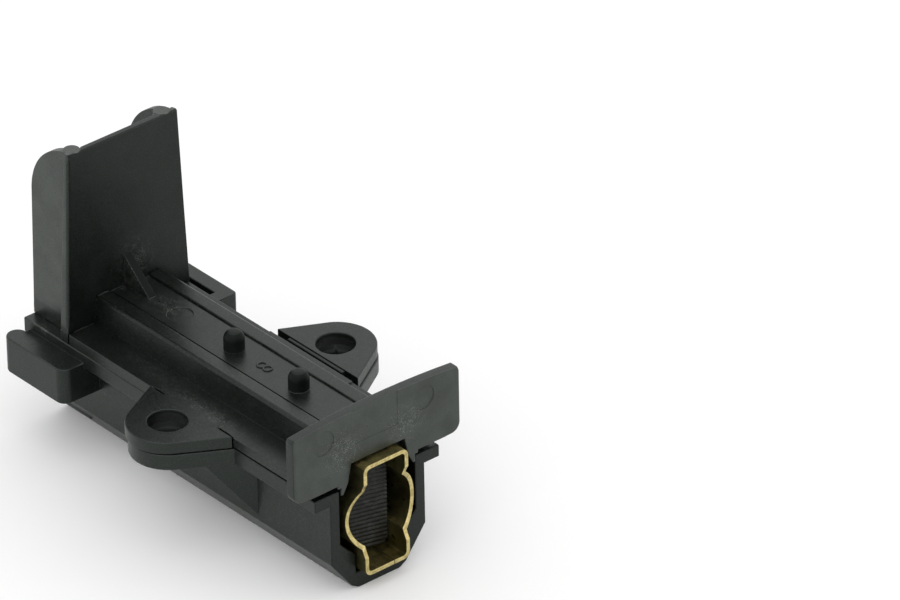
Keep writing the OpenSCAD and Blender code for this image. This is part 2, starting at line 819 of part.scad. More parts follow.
// Point lists of a round section swept along a path
function ring(p, t, r, n) =
    let (up = abs(t[0]) > 0.9 ? [0, 0, 1] : [1, 0, 0],
         u = cross(t, up) / norm(cross(t, up)), v = cross(t, u))
    [for (k = [0 : n - 1]) p + r * (cos(360 * k / n) * u + sin(360 * k / n) * v)];

function tangent(path, i) =
    let (a = path[max(i - 1, 0)], b = path[min(i + 1, len(path) - 1)])
    (b - a) / norm(b - a);

// Section frames that follow a helix round the X axis: one axis always points outwards
function coil_ring(p, t, r, n) =
    let (out = [0, p[1], p[2] - axis_z] / max(norm([0, p[1], p[2] - axis_z]), 0.001),
         v = cross(t, out) / norm(cross(t, out)), u = cross(v, t))
    [for (k = [0 : n - 1]) p + r * (cos(360 * k / n) * u + sin(360 * k / n) * v)];

module swept(rings, n) {
    count = len(rings);
    points = [for (loop = rings, p = loop) p];
    sides = [for (i = [0 : count - 2], k = [0 : n - 1])
        [i * n + k, i * n + (k + 1) % n, (i + 1) * n + (k + 1) % n, (i + 1) * n + k]];
    start = [[for (k = [n - 1 : -1 : 0]) k]];
    finish = [[for (k = [0 : n - 1]) (count - 1) * n + k]];
    polyhedron(points = points, faces = concat(start, sides, finish), convexity = 10);
}

// Pressure spring: the end turns lie closed, the turns between them open evenly
function spring_rise(s) =
    let (closed = spring_wire_d / (spring_len - spring_wire_d), edge = 1 / spring_turns)
    s < edge ? closed * s / edge
    : s > 1 - edge ? 1 - closed * (1 - s) / edge
    : closed + (1 - 2 * closed) * (s - edge) / (1 - 2 * edge);

module pressure_spring() {
    steps = ceil(spring_turns * 20);
    r = (spring_d - spring_wire_d) / 2;
    run = spring_len - spring_wire_d - 0.04;
    path = [for (i = [0 : steps]) let (a = 360 * spring_turns * i / steps)
        [plate_front_x + 0.02 + spring_wire_d / 2 + run * spring_rise(i / steps),
         r * cos(a), axis_z + r * sin(a)]];
    color([0.7, 0.7, 0.72])
        swept([for (i = [0 : steps]) coil_ring(path[i], tangent(path, i), spring_wire_d / 2, 8)], 8);
}

// Braided lead: out of the terminal, once loosely round inside the spring, into the brush
module shunt_lead() {
    x0 = barrel_rear_x;
    x1 = brush_rear_x + pocket_depth - 0.1;
    calm0 = (plate_front_x - x0 + 0.4) / (x1 - x0);
    calm1 = (x1 - brush_rear_x + 0.4) / (x1 - x0);
    steps = 56;
    path = [for (i = [0 : steps])
        let (s = i / steps, m = min(max((s - calm0) / (1 - calm0 - calm1), 0), 1),
             swell = lead_coil_r * pow(sin(180 * m), 0.8), a = 360 * lead_turns * m)
        [x0 + (x1 - x0) * s, swell * cos(a), axis_z + swell * sin(a)]];
    color([0.72, 0.45, 0.28])
        swept([for (i = [0 : steps]) ring(path[i], tangent(path, i), lead_d / 2, 8)], 8);
}

// Tab terminal

// Quarter bend of the strip, drawn in X and Z about its centre
module bend(cx, cz, qx, qz) {
    translate([cx, cz])
        intersection() {
            difference() {
                circle(r = bend_r + strip_t, $fn = 48);
                circle(r = bend_r, $fn = 48);
            }
            translate([qx > 0 ? 0 : -bend_r - strip_t, qz > 0 ? 0 : -bend_r - strip_t])
                square(bend_r + strip_t);
        }
}

// Strip seen from the side, from the run under the bay floor up to the blade
module blade_section() {
    low_z = strip_top_z - strip_t;
    bend(plate_rear_x - bend_r, strip_top_z - strip_t - bend_r, 1, 1);
    translate([blade_front_x + bend_r, low_z])
        square([plate_rear_x - blade_front_x - 2 * bend_r, strip_t]);
    bend(blade_front_x + bend_r, strip_top_z + bend_r, -1, -1);
    translate([blade_rear_x, strip_top_z + bend_r - eps])
        square([strip_t, bay_floor_z + blade_l - strip_top_z - bend_r + eps]);
}

module tab_terminal() {
    tip_z = bay_floor_z + blade_l;
    tip_cut = blade_w * 0.16;
    plate_top_z = strip_top_z - strip_t - bend_r;
    color(brass_colour)
        difference() {
            union() {
                across_y(-blade_w / 2, blade_w / 2)
                    blade_section();
                block([plate_rear_x, -plate_w / 2, part_z - plate_drop],
                      [plate_front_x, plate_w / 2, plate_top_z + eps]);
                translate([barrel_rear_x, 0, axis_z])
                    rotate([0, 90, 0])
                        cylinder(d = barrel_in_d + 2 * barrel_t, h = barrel_l + eps, $fn = 48);
            }
            translate([barrel_rear_x - eps, 0, axis_z])
                rotate([0, 90, 0])
                    cylinder(d = barrel_in_d, h = barrel_l + strip_t + 3 * eps, $fn = 48);
            translate([blade_rear_x - eps, 0, bay_floor_z + blade_l * 0.55])
                rotate([0, 90, 0])
                    cylinder(d = blade_hole_d, h = strip_t + 2 * eps, $fn = 32);
            for (side = [-1, 1])
                on_side(side)
                    across_tip(tip_z, tip_cut);
        }
}

// Slanting corner cut of the blade's tip
module across_tip(tip_z, cut) {
    along_x(blade_rear_x - eps, blade_front_x + eps)
        polygon([[blade_w / 2 - cut, tip_z + eps], [blade_w / 2 + eps, tip_z + eps],
                 [blade_w / 2 + eps, tip_z - 1.6 * cut]]);
}

base_moulding();
cover_moulding();
guide_tube();
carbon_brush();
pressure_spring();
shunt_lead();
tab_terminal();
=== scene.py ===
"""Looks of a motor brush holder: moulded housing, brass guide tube, carbon brush and terminal."""

import json
import math
from functools import reduce

import bmesh
import bpy
from mathutils import Matrix, Vector, geometry, kdtree


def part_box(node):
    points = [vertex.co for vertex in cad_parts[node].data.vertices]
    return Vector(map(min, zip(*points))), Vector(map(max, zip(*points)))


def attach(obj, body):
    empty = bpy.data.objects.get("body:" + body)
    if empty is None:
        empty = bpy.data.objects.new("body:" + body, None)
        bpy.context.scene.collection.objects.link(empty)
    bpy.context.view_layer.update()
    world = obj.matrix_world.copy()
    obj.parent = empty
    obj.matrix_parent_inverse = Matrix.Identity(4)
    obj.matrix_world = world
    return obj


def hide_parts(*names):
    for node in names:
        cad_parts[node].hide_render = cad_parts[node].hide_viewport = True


bl_info = {
    "name": "Brush Holder Looks",
    "version": (1, 0, 0),
    "blender": (4, 5, 0),
    "location": "View3D > Sidebar > Brush Holder",
    "description": "Dresses the packed brush holder with rounded edges, finishes, light and a camera",
    "category": "Object",
}

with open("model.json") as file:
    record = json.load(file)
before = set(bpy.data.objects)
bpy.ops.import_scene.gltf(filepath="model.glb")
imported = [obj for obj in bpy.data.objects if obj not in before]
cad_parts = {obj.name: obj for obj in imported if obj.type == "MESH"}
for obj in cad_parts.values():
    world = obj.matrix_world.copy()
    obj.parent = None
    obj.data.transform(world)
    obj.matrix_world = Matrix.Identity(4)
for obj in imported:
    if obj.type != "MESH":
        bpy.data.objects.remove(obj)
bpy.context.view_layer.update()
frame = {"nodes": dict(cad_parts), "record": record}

MM = 0.001

# How near a point has to be to count as on a face of the solids
CLOSE = 0.05 * MM
TOUCHING = 0.01 * MM

# Heights of the holder, from its foot to the top of the shield
FOOT_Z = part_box("base_moulding")[0].z
TUBE_Z = (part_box("guide_tube")[0].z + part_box("guide_tube")[1].z) / 2
PARTING_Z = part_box("base_moulding")[1].z
SHELF_Z = PARTING_Z + 1.3 * MM
EAR_TOP_Z = PARTING_Z + 1.45 * MM
ROOF_Z = PARTING_Z + 4.3 * MM
GUSSET_TOP_Z = ROOF_Z + 3.8 * MM
FLANGE_SHOULDER_Z = PARTING_Z + 8.2 * MM
SHIELD_TOP_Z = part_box("cover_moulding")[1].z

# Places along the holder, from the shield to the flange
SHIELD_X = -20.7 * MM
SHIELD_FOOT_X = SHIELD_X + 0.2 * MM
GUSSET_END_X = SHIELD_X + 4.2 * MM
LUG_SLOT_FRONT_X = -18 * MM
EAR_ROOTS_X = (-6.6 * MM, 7.1 * MM)
PEGS_X = (-2.85 * MM, 7.85 * MM)
FLANGE_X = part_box("cover_moulding")[1].x

# Places across the holder, or limits that the named detail lies within or beyond, and round sizes
TUBE_FLANK_Y = 2.9 * MM
ROOF_SIDE_Y = (4.1 * MM, 4.8 * MM)
COLUMN_Y = 5.5 * MM
FIN_Y = 7.05 * MM
SHIELD_EDGE_Y = 7.2 * MM
FAR_GROOVE_Y = (7.9 * MM, 8.8 * MM)
LUG_SLOT_Y = (9 * MM, 9.95 * MM)
FLANGE_SHOULDER_Y = 9.9 * MM
SCREWS = next(m for m in frame["record"]["mounts"] if m["name"] == "screw_ears")["dims"]
HOLE_Y = SCREWS["spacing_y_mm"] / 2 * MM
HOLE_R = SCREWS["hole_r_mm"] * MM
PEG_R = 1.15 * MM

# Rounding: the least angle of a sharp edge, the share of the room beside it, and an inner corner's share
SHARP_FROM = math.radians(28)
ROOM_SHARE = 0.42
INNER_SHARE = 0.25

# Finishes of the plastic and of the tube, in the order of their materials. The dull, soft and shaded plastics
# are copies of the black plastic with less shine: a painted shade
POLISHED, DULL_SHADE, ROUGH, SOFT_SHADE, SHADED = range(5)
OUTSIDE, INSIDE, CUT_EDGE, FLANK = range(4)

# Pale spots of the plastic: the centre and radii in millimetres, and the strength
HAZE_SPOTS = (
    ((-20.4, 0.8, 7.5), (1.5, 4.0, 5.5), 0.6),  # foot of the shield
    ((-19.0, -0.6, 7.8), (3.0, 0.9, 3.4), 0.55),  # side of the gusset
    ((-18.2, 0.0, 5.2), (3.5, 3.2, 2.0), 0.4),  # roof at the gusset
    ((-14.0, 0.0, 6.1), (5.0, 3.0, 1.5), 0.5),  # roof behind the pegs
    ((17.5, 0.0, 6.0), (4.0, 2.6, 1.6), 0.5),  # roof at the flange
    ((1.0, -7.2, 3.2), (9.0, 2.0, 1.6), 0.5),  # near shelf at the ear
    ((-9.0, -6.2, 3.2), (8.0, 1.8, 1.6), 0.3),  # near shelf behind the ear
    ((20.7, -4.7, 6.1), (1.5, 3.8, 4.0), 1.0),  # near half of the flange
    ((20.7, 3.7, 6.2), (1.5, 3.6, 3.6), 1.0),  # far half of the flange
    ((-25.5, -10.0, 1.8), (4.0, 5.0, 1.5), 0.5),  # near lug
)

# Straight lines of flash: name, start and end across in millimetres, height and place along in metres,
# the way that the skin spreads, its width and its height in millimetres
FLASH_LINES = (
    ("roof_flash", (-4.3, -2.7), ROOF_Z + 0.15 * MM, SHIELD_FOOT_X, -1, 0.16, 0.16),
    ("floor_flash", (-2.6, -0.7), ROOF_Z, SHIELD_FOOT_X, -1, 0.16, 0.14),
    ("shelf_flash", (-7.8, -4.9), SHELF_Z, SHIELD_FOOT_X, -1, 0.16, 0.06),
    ("gusset_flash", (-0.6, 0.45), ROOF_Z, GUSSET_END_X, 1, 0.12, 0.1),
)


def tone(colour, factor=1.0):
    """A colour with its alpha, made darker or lighter by a factor."""
    return (*(part * factor for part in colour), 1.0)


def add_object(name, data):
    """A new object at the origin, linked to the scene."""
    made = bpy.data.objects.new(name, data)
    bpy.context.scene.collection.objects.link(made)
    return made


# Nodes and links of a material


class Finish:
    """A material's node tree, with short calls for the nodes that the finishes share."""

    def __init__(self, name):
        self.material = bpy.data.materials.new(name)
        self.material.use_nodes = True
        self.tree = self.material.node_tree
        self.shader = self.tree.nodes["Principled BSDF"]
        self.place = self.node("ShaderNodeTexCoord").outputs["Object"]

    def node(self, kind, **values):
        """A new node with its settings."""
        made = self.tree.nodes.new(kind)
        for key, value in values.items():
            setattr(made, key, value)
        return made

    def put(self, value, socket):
        """Links an output to a socket, or writes a plain value on it."""
        if isinstance(value, bpy.types.NodeSocket):
            self.tree.links.new(value, socket)
        else:
            socket.default_value = value

    def set(self, name, value):
        """Links or writes one socket of the shader."""
        self.put(value, self.shader.inputs[name])

    def noise(self, size, detail=2.0, roughness=0.5, stretch=(1, 1, 1), distortion=0.0):
        """Noise from 0 to 1 with features about as wide as size, in metres."""
        mapping = self.node("ShaderNodeMapping")
        mapping.inputs["Scale"].default_value = [1 / (size * s) for s in stretch]
        self.put(self.place, mapping.inputs["Vector"])
        texture = self.node("ShaderNodeTexNoise")
        self.put(mapping.outputs["Vector"], texture.inputs["Vector"])
        texture.inputs["Scale"].default_value = 1.0
        texture.inputs["Detail"].default_value = detail
        texture.inputs["Roughness"].default_value = roughness
        texture.inputs["Distortion"].default_value = distortion
        return texture.outputs["Fac"]

    def combine(self, operation, a, b, clamp=False):
        """Two values worked into one."""
        made = self.node("ShaderNodeMath", operation=operation, use_clamp=clamp)
        self.put(a, made.inputs[0])
        self.put(b, made.inputs[1])
        return made.outputs[0]

    def times(self, a, b, clamp=False):
        """One value times the other."""
        return self.combine("MULTIPLY", a, b, clamp)

    def larger(self, a, b):
        """The larger of two values."""
        return self.combine("MAXIMUM", a, b)

    def span(self, value, low, high, to_low=0.0, to_high=1.0):
        """Value moved from one range to another, and held inside it."""
        made = self.node("ShaderNodeMapRange", interpolation_type="SMOOTHSTEP")
        self.put(value, made.inputs["Value"])
        self.put(low, made.inputs["From Min"])
        self.put(high, made.inputs["From Max"])
        self.put(to_low, made.inputs["To Min"])
        self.put(to_high, made.inputs["To Max"])
        return made.outputs["Result"]

    def blend(self, share, a, b):
        """Colour a where share is 0 and colour b where it is 1."""
        made = self.node("ShaderNodeMix", data_type="RGBA")
        self.put(share, made.inputs["Factor"])
        self.put(a, made.inputs["A"])
        self.put(b, made.inputs["B"])
        return made.outputs["Result"]

    def patch(self, centre, radii):
        """A soft spot: 1 at its centre and 0 at its radii, in metres."""
        mapping = self.node("ShaderNodeMapping", vector_type="TEXTURE")
        mapping.inputs["Location"].default_value = centre
        mapping.inputs["Scale"].default_value = radii
        self.put(self.place, mapping.inputs["Vector"])
        gradient = self.node("ShaderNodeTexGradient", gradient_type="SPHERICAL")
        self.put(mapping.outputs["Vector"], gradient.inputs["Vector"])
        return gradient.outputs["Fac"]

    def beyond(self, axis, start, end):
        """0 on one side of a plane and 1 on the other, with a soft change from start to end, in metres."""
        parts = self.node("ShaderNodeSeparateXYZ")
        self.put(self.place, parts.inputs["Vector"])
        return self.span(parts.outputs[axis], start, end)

    def bump(self, height, distance, strength):
        """Fine relief of the surface."""
        made = self.node("ShaderNodeBump")
        made.inputs["Distance"].default_value = distance
        made.inputs["Strength"].default_value = strength
        self.put(height, made.inputs["Height"])
        self.set("Normal", made.outputs["Normal"])


def plastic_shine(finish, gloss):
    """The cool shine that all the plastic finishes share."""
    finish.set("Specular IOR Level", gloss)
    finish.set("Specular Tint", tone((0.9, 1.0, 0.93)))


def dull_finish(name, colour, roughness, gloss):
    """A grainy copy of the plastic with its own colour and shine. In holes and slots and on the pegs and the
    gusset it shines less, a painted shade; on torn flash and the ends of the columns it is their own paler
    tone.
    """
    finish = Finish(name)
    grain = finish.noise(0.25 * MM, 3, 0.6)
    finish.set("Base Color", finish.blend(grain, tone(colour, 0.6), tone(colour, 1.4)))
    finish.set("Roughness", roughness)
    plastic_shine(finish, gloss)
    return finish.material


def fibre_haze(finish):
    """Share of the pale haze, broken up to wisps."""
    spots = []
    for centre, radii, strength in HAZE_SPOTS:
        spot = finish.patch([c * MM for c in centre], [r * MM for r in radii])
        spots.append(finish.times(spot, strength))
    wisps = finish.noise(0.6 * MM, 5, 0.7, (1.5, 1, 1), 0.6)
    return finish.times(reduce(finish.larger, spots), finish.span(wisps, 0.32, 0.7), clamp=True)


def haze_and_painted_reflection(finish, cloud):
    """Share of the even pale veil on the flange's face and on the near side of the near fin: partly fibre
    haze, partly a painted reflection of the pale floor.
    """
    flange = finish.beyond("X", FLANGE_X - 0.18 * MM, FLANGE_X - 0.08 * MM)
    outward = finish.beyond("Y", 0.35 * MM - FIN_Y, 0.15 * MM - FIN_Y)
    upward = finish.beyond("Z", SHELF_Z + 0.3 * MM, SHELF_Z + 0.9 * MM)
    rearward = finish.beyond("X", SHIELD_X - 0.25 * MM, SHIELD_X - 0.5 * MM)
    fin = finish.times(finish.times(outward, upward), rearward)
    return finish.times(finish.larger(flange, fin), finish.span(cloud, 0.3, 0.7, 0.7, 1.2))


def moulding_finish(name, settings, gloss=0.5):
    """Black glass-filled plastic: mottled satin, with pale fibre haze in a few places, and an even pale veil
    on the flange and the fin that is partly haze and partly a painted reflection of the floor.
    """
    finish = Finish(name)
    cloud = finish.noise(3.0 * MM, 4, 0.55)
    plastic = settings.colour
    base = finish.blend(finish.span(cloud, 0.35, 0.65), tone(plastic, 0.72), tone(plastic, 1.35))
    haze = fibre_haze(finish)
    # The veil is partly fibre haze and partly a painted reflection of the floor
    reflection_veil = finish.times(haze_and_painted_reflection(finish, cloud), settings.reflection_veil)
    pale_share = finish.larger(finish.times(haze, settings.haze), reflection_veil)
    colour = finish.blend(pale_share, base, tone(settings.haze_colour))
    fibres = finish.noise(0.1 * MM, 1.5, 0.5, (2.2, 1, 1), 0.4)
    fibre_share = finish.times(finish.span(fibres, 0.55, 0.67), finish.span(haze, 0.02, 0.6, 0.07, 0.9))
    finish.set("Base Color", finish.blend(fibre_share, colour, tone(settings.fibre_colour)))
    mottle = finish.noise(0.3 * MM, 4, 0.7)
    roughness = settings.roughness
    finish.set("Roughness", finish.span(mottle, 0.3, 0.7, roughness - 0.03, roughness + 0.1))
    finish.set("IOR", 1.52)
    plastic_shine(finish, gloss)
    finish.bump(finish.noise(0.26 * MM, 1, 0.5), 0.006 * MM, 0.35)
    return finish.material


def brass_finish(name, colour, roughness, tarnish, tarnish_share, spots=0.0, cloud_size=2.2):
    """Brass: a metal colour with tarnish clouds, fine rolling lines and a few dark spots."""
    finish = Finish(name)
    cloud = finish.noise(cloud_size * MM, 4, 0.6)
    share = finish.times(finish.span(cloud, 0.3, 0.7), tarnish_share)
    shade = finish.blend(share, tone(colour), tone(tarnish))
    if spots:
        speck = finish.noise(0.55 * MM, 2, 0.6, (1.6, 1, 1))
        speck_share = finish.times(finish.span(speck, 0.66, 0.72), spots)
        shade = finish.blend(speck_share, shade, tone((0.02, 0.016, 0.01)))
    finish.set("Base Color", shade)
    finish.set("Metallic", 1.0)
    drag = finish.noise(0.12 * MM, 2, 0.5, (14, 1, 1))
    finish.set("Roughness", finish.span(drag, 0.3, 0.7, roughness - 0.05, roughness + 0.1))
    finish.bump(drag, 0.003 * MM, 0.5)
    return finish.material


def carbon_finish(name, colour):
    """Pressed graphite: dark grey grain with a faint sheen, and pale streaks in its colour that are painted
    highlights of the glints on its ridges.
    """
    finish = Finish(name)
    grain = finish.noise(0.12 * MM, 4, 0.75)
    glint_streaks = finish.noise(0.16 * MM, 4, 0.7, (1, 5, 1), 0.3)
    cloud = finish.noise(1.1 * MM, 3, 0.6)
    texture = finish.combine("ADD", finish.times(glint_streaks, 0.6), finish.times(grain, 0.4))
    texture = finish.times(texture, finish.span(cloud, 0.3, 0.7, 0.75, 1.15))
    # The pale end of this blend paints the glints of the ridges into the colour
    shade = finish.blend(finish.span(texture, 0.4, 0.7), tone(colour, 0.1), tone(colour, 2.4))
    finish.set("Base Color", shade)
    finish.set("Roughness", finish.span(glint_streaks, 0.3, 0.7, 0.55, 0.32))
    finish.set("Specular IOR Level", 0.42)
    finish.bump(texture, 0.05 * MM, 0.8)
    return finish.material


def wire_finish(name, colour, roughness):
    """Plain metal of the spring and of the lead, with fine lines along it."""
    finish = Finish(name)
    drag = finish.noise(0.1 * MM, 2, 0.5, (6, 1, 6))
    finish.set("Base Color", tone(colour))
    finish.set("Metallic", 1.0)
    finish.set("Roughness", finish.span(drag, 0.3, 0.7, roughness - 0.05, roughness + 0.08))
    return finish.material


# Meshes made from the solids


def merged_copy(node, name):
    """A copy of a solid's mesh with its triangles joined to whole faces."""
    bm = bmesh.new()
    bm.from_mesh(frame["nodes"][node].data)
    bmesh.ops.remove_doubles(bm, verts=bm.verts, dist=0.002 * MM)
    bmesh.ops.dissolve_limit(bm, angle_limit=math.radians(0.6), use_dissolve_boundaries=False,
                             verts=bm.verts, edges=bm.edges)
    mesh = bpy.data.meshes.new(name)
    bm.to_mesh(mesh)
    bm.free()
    return add_object(name, mesh)


def edge_room(edges, reach):
    """For each sharp edge, the distance to the nearest other sharp edge beside it, up to reach."""
    sample_step = 0.12 * MM
    samples = []
    for edge in edges:
        a, b = (v.co for v in edge.verts)
        count = max(1, int((b - a).length / sample_step))
        for i in range(count):
            samples.append((a.lerp(b, (i + 0.5) / count), edge))
    tree = kdtree.KDTree(len(samples))
    for i, (co, edge) in enumerate(samples):
        tree.insert(co, i)
    tree.balance()
    room = {edge: reach for edge in edges}
    for co, edge in samples:
        along = (edge.verts[1].co - edge.verts[0].co).normalized()
        own = set(edge.verts)
        for other_co, index, distance in tree.find_range(co, room[edge]):
            other = samples[index][1]
            if other is edge or own & set(other.verts):
                continue
            lies_beside = abs((other_co - co).dot(along)) < 0.5 * distance
            if lies_beside:
                room[edge] = min(room[edge], distance)
    return room


def flat_corners(face):
    """The corners of a face in its own plane, in millimetres."""
    across = face.normal.orthogonal().normalized()
    along = face.normal.cross(across)
    return [Vector((v.co.dot(across), v.co.dot(along))) / MM for v in face.verts]


def small_loops(bm, reach):
    """Runs of corners, none longer than reach, where the outline of a face crosses itself."""
    fewest_corners, longest_run = 5, 9
    found, used = [], set()
    for face in bm.faces:
        count = len(face.verts)
        if count < fewest_corners:
            continue
        flat = flat_corners(face)
        for i in range(count):
            for step in range(2, min(longest_run + 1, count - 2)):
                j = (i + step) % count
                sides = flat[i], flat[(i + 1) % count], flat[j], flat[(j + 1) % count]
                if not geometry.intersect_line_line_2d(*sides):
                    continue
                run = [face.verts[(i + k) % count] for k in range(1, step + 1)]
                if used.isdisjoint(run) and all((v.co - run[0].co).length < reach for v in run):
                    found.append(run)
                    used.update(run)
                    break
    return found


def close_loops(bm, reach):
    """Draws each small loop of a rounded corner together to one point, so that no face folds over itself."""
    most_rounds = 6
    for _ in range(most_rounds):
        loops = small_loops(bm, reach)
        for run in loops:
            middle = sum((v.co for v in run), Vector()) / len(run)
            bmesh.ops.pointmerge(bm, verts=run, merge_co=middle)
        bmesh.ops.dissolve_degenerate(bm, dist=0.0005 * MM, edges=bm.edges)
        if not loops:
            return


def chains(aims):
    """Groups sharp edges of one aim that run on smoothly, so that a whole arc or outline gets one width."""
    runs_on = math.radians(150)
    group = {edge: [edge] for edge in aims}
    for vert in {v for edge in aims for v in edge.verts}:
        here = [e for e in vert.link_edges if e in aims]
        if len(here) != 2 or aims[here[0]] != aims[here[1]] or group[here[0]] is group[here[1]]:
            continue
        a, b = (e.other_vert(vert).co - vert.co for e in here)
        if a.angle(b) > runs_on:
            joined = group[here[0]] + group[here[1]]
            for edge in joined:
                group[edge] = joined
    return list({id(g): g for g in group.values()}.values())


def split_ends(piece, test, distance):
    """Splits each long edge that passes the test near both of its ends, where its rounding can end."""
    bm = bmesh.new()
    bm.from_mesh(piece.data)
    long_edges = [e for e in bm.edges if e.calc_length() > 5 * distance]
    for edge in [e for e in long_edges if all(test(v.co) for v in e.verts)]:
        for vert in list(edge.verts):
            part, _ = bmesh.utils.edge_split(edge, vert, distance / edge.calc_length())
            if part.calc_length() > edge.calc_length():
                edge = part
    bm.to_mesh(piece.data)
    bm.free()


def weigh_edges(bm, width, widest, keep, wider):
    """Gives each sharp edge its share of the widest rounding, less in inner corners and in little room."""
    layer = bm.edges.layers.float.new("bevel_weight_edge")
    sharp = [e for e in bm.edges if e.is_manifold and e.calc_face_angle() > SHARP_FROM
             and not (keep and all(keep(v.co) for v in e.verts))]
    room = edge_room(sharp, widest / ROOM_SHARE)
    aims = {}
    for edge in sharp:
        aim = max([width, *(w for test, w in wider if all(test(v.co) for v in edge.verts))])
        aims[edge] = aim if edge.is_convex else aim * INNER_SHARE
    for run in chains(aims):
        fit = min(min(aims[edge], room[edge] * ROOM_SHARE) for edge in run)
        for edge in run:
            edge[layer] = fit / widest


def beveled_mesh(piece, width):
    """The mesh of a piece with its weighted edges rounded."""
    bevel = piece.modifiers.new("Rounded edges", "BEVEL")
    bevel.limit_method = "WEIGHT"
    bevel.width = width
    bevel.segments = 2
    bevel.profile = 0.5
    bevel.use_clamp_overlap = False
    bevel.miter_outer = "MITER_SHARP"
    mesh = bpy.data.meshes.new_from_object(piece.evaluated_get(bpy.context.evaluated_depsgraph_get()))
    piece.modifiers.remove(bevel)
    return mesh


def round_edges(piece, width, keep=None, wider=()):
    """Rounds the sharp edges of a piece, apart from those that the keep test names, within its old box."""
    widest = max([width, *(w for _, w in wider)])
    bm = bmesh.new()
    bm.from_mesh(piece.data)
    low, high = ([limit(v.co[k] for v in bm.verts) for k in range(3)] for limit in (min, max))
    weigh_edges(bm, width, widest, keep, wider)
    for face in bm.faces:
        face.smooth = True
    bm.to_mesh(piece.data)
    bm.free()
    rounded = beveled_mesh(piece, widest)
    bm = bmesh.new()
    bm.from_mesh(rounded)
    close_loops(bm, 3 * widest)
    for v in bm.verts:
        v.co = [min(max(c, a), b) for c, a, b in zip(v.co, low, high)]
    bm.to_mesh(piece.data)
    bm.free()
    bpy.data.meshes.remove(rounded)
    normals = piece.modifiers.new("Flat faces stay flat", "WEIGHTED_NORMAL")
    normals.keep_sharp = True
    normals.weight = 80


def ease_steps(piece):
    """Draws out the two low steps between the near shelf and the raised root of the near ear."""
    slope = 0.9 * MM
    for vert in piece.data.vertices:
        at_step = min(abs(vert.co.x - x) for x in EAR_ROOTS_X) < 0.03 * MM
        if at_step and abs(vert.co.z - EAR_TOP_Z) < 0.02 * MM and -8.4 * MM < vert.co.y < -7 * MM:
            vert.co.x -= math.copysign(slope, vert.co.x)


def dress(piece, body, node, slot, *materials):
    """Puts a finished piece on its body, in place of the solid it was copied from."""
    for material in materials:
        piece.data.materials.append(material)
    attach(piece, body)
    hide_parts(node)


# Tests for places on the pieces, and the finish that each face gets


def in_screw_hole(co):
    """True on the wall of a screw hole."""
    return abs(math.hypot(co.x, abs(co.y) - HOLE_Y) - HOLE_R) < CLOSE


def in_far_groove(co):
    """True in the groove between the far shelf and the far ear."""
    return abs(co.x) < EAR_ROOTS_X[1] + 0.1 * MM and FAR_GROOVE_Y[0] < co.y < FAR_GROOVE_Y[1] \
        and PARTING_Z + 0.2 * MM < co.z < EAR_TOP_Z + CLOSE


def in_lug_slot(co):
    """True on the walls of the slot in the far lug."""
    return co.x < LUG_SLOT_FRONT_X and LUG_SLOT_Y[0] < co.y < LUG_SLOT_Y[1] and co.z < PARTING_Z + CLOSE


def on_peg(co):
    """True on the two pegs of the roof."""
    return co.z > ROOF_Z - TOUCHING and any(math.hypot(co.x - x, co.y) < PEG_R + CLOSE for x in PEGS_X)


def on_gusset_slope(face):
    """True on the sloping edge of the gusset in front of the shield."""
    x, y, z = face.center
    return abs(y) < 0.4 * MM and x < GUSSET_END_X and z < GUSSET_TOP_Z and 0.3 < face.normal.x < 0.95


def on_column_top(face):
    """True on the round ends of the ejector columns at the top of the shield."""
    x, y, z = face.center
    return face.normal.z > 0.95 and z > SHIELD_TOP_Z - 0.8 * MM and abs(y) > COLUMN_Y and x < SHIELD_X


def on_shield_front(face, corners):
    """True on the front of the shield above its foot."""
    return face.normal.x > 0.97 and all(abs(c.x - SHIELD_X) < 0.2 * MM for c in corners) \
        and any(c.z > ROOF_Z + 2 * MM for c in corners)


def on_trough_front(face, corners):
    """True on the front of the trough below the flange."""
    return face.normal.x > 0.97 and all(
        c.x > FLANGE_X - 0.4 * MM and c.z < PARTING_Z + TOUCHING for c in corners)


def on_roof_side(face, corners):
    """True on the two steep sides of the roof."""
    low, high = ROOF_SIDE_Y
    return abs(face.normal.y) > 0.15 and all(
        low < abs(c.y) < high and SHELF_Z - 0.1 * MM < c.z < ROOF_Z + 0.2 * MM for c in corners)


def in_dull_shade(face, corners):
    """True in the screw holes, the far groove, the lug slot and on the pegs, which get the dull copy of the
    plastic as a painted shade.
    """
    is_shelf_top = face.normal.z > 0.9 and abs(face.center.z - SHELF_Z) < CLOSE
    if is_shelf_top:
        return False
    return any(all(test(c) for c in corners) for test in (in_screw_hole, in_far_groove, in_lug_slot, on_peg))


def plastic_of(face, corners):
    """The finish that a face of the mouldings gets."""
    # The gusset's slope and the sides of the pegs get the soft copy, a painted shade
    if on_gusset_slope(face) or face.normal.z < 0.8 and all(on_peg(c) for c in corners):
        return SOFT_SHADE
    # Holes, slots, the far groove and the tips of the pegs get the dull copy, a painted shade
    if in_dull_shade(face, corners):
        return DULL_SHADE
    if on_column_top(face):
        return ROUGH
    # The shield front, the trough front and the roof sides get the shaded copy, a painted shade
    if any(test(face, corners) for test in (on_shield_front, on_trough_front, on_roof_side)):
        return SHADED
    return POLISHED


def on_flange_outline(co):
    """True on the outline of the flange's face."""
    on_face = abs(co.x - FLANGE_X) < TOUCHING
    return on_face and (abs(co.y) > FLANGE_SHOULDER_Y or co.z > FLANGE_SHOULDER_Z)


def on_shield_edge(co):
    """True on the upright front edges of the shield."""
    return abs(co.x - SHIELD_X) < 0.1 * MM and abs(co.y) > SHIELD_EDGE_Y and co.z > SHELF_Z - 0.2 * MM


def inside_shield_edge(co):
    """True on the same edges, apart from the corners at their two ends."""
    return on_shield_edge(co) and SHELF_Z + 0.1 * MM < co.z < SHIELD_TOP_Z - 0.6 * MM


